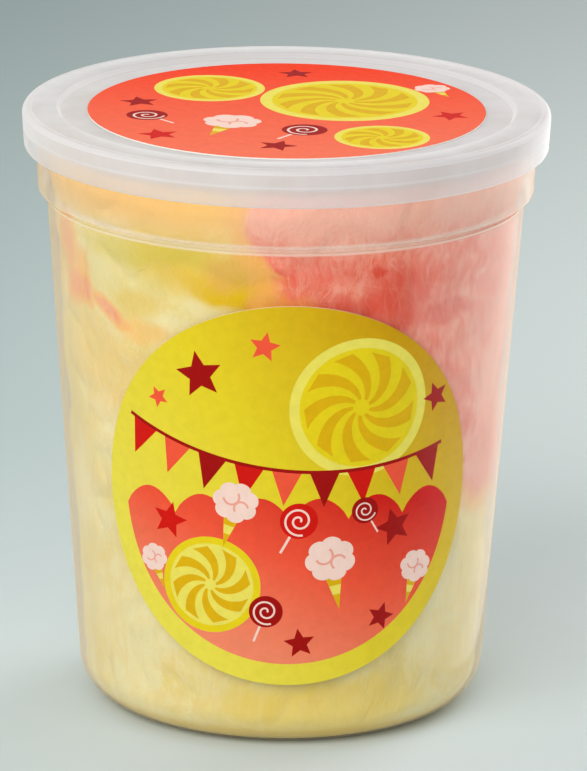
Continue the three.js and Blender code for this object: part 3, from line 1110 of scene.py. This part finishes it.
def unit(vectors):
    return vectors / (np.linalg.norm(vectors, axis=2, keepdims=True) + 1e-9)


def strands(name, count, seed, wanted):
    """Thin tapered threads that lie on the floss, under the wall, as one mesh.

    wanted(x, share) says whether a thread with its middle there belongs to the piece.
    """
    random = np.random.default_rng(seed)
    length, at = skin_line()
    paths = []
    while len(paths) < count:
        spot = random.uniform(14, length - 20)
        angle = random.uniform(0, 2 * math.pi)
        radius, height = at(spot)
        if random.uniform(0, NECK_RADIUS) > radius:
            continue
        x, y = polar(radius, angle)
        if wanted(x, pinkness(x, y, height) + random.uniform(-0.05, 0.05)):
            paths.append(thread_path(random, length, at, spot, angle))
    paths = np.array(paths)
    tangents = unit(np.gradient(paths, axis=1))
    sideways = unit(np.cross(tangents, unit(paths * (1, 1, 0))))
    outwards = np.cross(sideways, tangents)
    width = random.uniform(*THREAD_THICKNESS, len(paths))[:, None, None]
    taper = np.sin(np.linspace(0.02, 0.98, THREAD_KNOTS) * math.pi)[None, :, None] ** 0.5
    sides = 3
    points = []
    for k in range(sides):
        turn = 2 * math.pi * (k + 0.5) / sides
        ring = math.cos(turn) * outwards + math.sin(turn) * sideways
        points.append(paths + ring * width * taper / 2)
    points = np.stack(points, 2)
    total = len(paths)
    base = np.arange(total)[:, None, None] * THREAD_KNOTS * sides
    row = np.arange(THREAD_KNOTS - 1)[None, :, None] * sides
    side = np.arange(sides)[None, None, :]
    here = base + row + side
    after = base + row + (side + 1) % sides
    quads = np.stack([here, after, after + sides, here + sides], -1).reshape(-1, 4)
    ends = np.arange(total)[:, None] * THREAD_KNOTS * sides
    first = ends + np.arange(sides)[None, ::-1]
    last = ends + (THREAD_KNOTS - 1) * sides + np.arange(sides)
    triangles = np.concatenate([
        quads[:, [0, 1, 2]], quads[:, [0, 2, 3]], first, last])
    mesh = mesh_from_arrays(name, points.reshape(-1, 3), triangles)
    mesh.normals_split_custom_set_from_vertices(np.repeat(outwards.reshape(-1, 3), sides, axis=0))
    return new_object(name, mesh)


def make_floss():
    noise.seed_set(SKIN_SEED)
    floss, thread = floss_shader("floss"), thread_shader("thread")
    filling = new_object("filling", filling_mesh())
    ball = pink_ball()
    lumps = [wisp_lump(*row) for row in WISP_LUMPS]
    wisp_space = lumps[0]
    for lump in lumps[1:]:
        boolean(wisp_space, lump, "UNION")
    pink = new_object("floss_pink", filling.data.copy())
    boolean(pink, ball, "INTERSECT")
    wisp = new_object("floss_pink_wisp", filling.data.copy())
    boolean(wisp, wisp_space, "INTERSECT")
    yellow = new_object("floss_yellow", filling.data)
    boolean(yellow, ball, "DIFFERENCE")
    boolean(yellow, wisp_space, "DIFFERENCE")
    for helper in (filling, ball, *lumps):
        bpy.data.objects.remove(helper)
    pieces = []
    for piece, node, slot in (
        (yellow, "cotton_candy_yellow", "yellow_floss"),
        (pink, "cotton_candy_pink", "pink_floss"),
        (wisp, "cotton_candy_pink_wisp", "pink_floss"),
    ):
        piece.data.materials.clear()
        piece.data.materials.append(floss)
        piece.data.shade_smooth()
        piece.data.set_sharp_from_angle(angle=SHARP_ANGLE)
        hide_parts(node)
        pieces.append(piece)
    for name, seed, wanted, slot in (
        ("threads_yellow_left", 3, lambda x, share: x < 0 and share < 1, "yellow_floss"),
        ("threads_yellow_right", 4, lambda x, share: x >= 0 and share < 1, "yellow_floss"),
        ("threads_pink", 5, lambda x, share: share >= 1, "pink_floss"),
    ):
        piece = strands(name, THREADS, seed, wanted)
        piece.data.materials.append(thread)
        piece.visible_shadow = False
        pieces.append(piece)
    return pieces


# ---------- surroundings

def make_floor():
    """A wide, plain, pale floor, a little darker far away at the left."""
    mesh = turned_mesh("floor", [(9000, -0.02), (0, -0.02)], 96)
    shader = Shader("floor")
    mottle = shader.noise(7.0, 4.0, 0.6)
    x, y, _ = shader.add("SeparateXYZ", {0: shader.place()}).outputs
    far = shader.blend(shader.ranged(x, -0.12, 0.12), rgb(175, 189, 188), rgb(215, 221, 219))
    near = shader.blend(shader.ranged(mottle, 0.3, 0.7), rgb(197, 206, 209), rgb(204, 213, 215))
    colour = shader.blend(shader.ranged(y, -0.02, 0.22, smooth=True), near, far)
    diffuse = shader.add("BsdfDiffuse", {"Color": colour})
    mesh.materials.append(shader.finish(diffuse.outputs[0]))
    floor = new_object("floor", mesh)


def area_light(name, place, target, size, power, colour=(1.0, 1.0, 1.0)):
    light = bpy.data.lights.new(name, "AREA")
    light.shape = "RECTANGLE"
    light.size, light.size_y = size
    light.energy = power
    light.color = colour
    lamp = new_object(name, light)
    lamp.location = place
    aim = Vector(target) - Vector(place)
    lamp.rotation_euler = aim.to_track_quat("-Z", "Y").to_euler()
    lamp.visible_camera = False
    return lamp


def make_lights():
    area_light("window", (-0.41, -0.71, 0.63), (0, 0, 0.06), (0.8, 0.8), 7.15, (1.0, 0.99, 0.97))
    for name, place, power in (
        ("left_back", (-0.62, 0.5, 0.62), 0.35),
        ("right_back", (0.62, 0.62, 0.62), 1.2),
    ):
        back = area_light(name, place, (0, 0, 0.1), (0.7, 0.7), power)
        back.data.spread = math.radians(80)
    area_light("right_fill", (0.5, -0.2, 0.16), (0, 0, 0.06), (0.5, 0.3), 0.35)
    for name, place, target, size, power in (
        ("right_card", (0.15, 0.2625, 0.09), (0, 0.2625, 0.09), (0.675, 0.18), 1.15),
        ("low_card", (0.106, 0.2625, 0.001), (0.106, 0.2625, 1), (0.088, 0.675), 0.4),
    ):
        card = area_light(name, place, target, size, power, (1.0, 0.98, 0.97))
        card.visible_diffuse = False
    world = bpy.data.worlds.new("world")
    world.use_nodes = True
    background = world.node_tree.nodes["Background"]
    background.inputs["Color"].default_value = rgb(226, 232, 232)
    background.inputs["Strength"].default_value = 0.62
    bpy.context.scene.world = world


def make_camera():
    data = bpy.data.cameras.new("camera")
    data.sensor_width = SENSOR
    data.lens = FOCAL_LENGTH
    data.clip_start, data.clip_end = 0.05, 50
    camera = new_object("camera", data)
    turn = Matrix.Rotation(-CAMERA_YAW, 4, "Z")
    tilt = Matrix.Rotation(math.pi / 2 - CAMERA_PITCH, 4, "X")
    roll = Matrix.Rotation(CAMERA_ROLL, 4, "Z")
    camera.matrix_world = Matrix.Translation(CAMERA_PLACE) @ turn @ tilt @ roll
    bpy.context.scene.camera = camera


# ---------- the part

for piece in (make_tub(), make_lid(), *make_stickers(), *make_floss()):
    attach(piece, "root")

make_floor()
make_lights()
make_camera()

view = bpy.context.scene.view_settings
view.view_transform = "Standard"
view.look = "None"
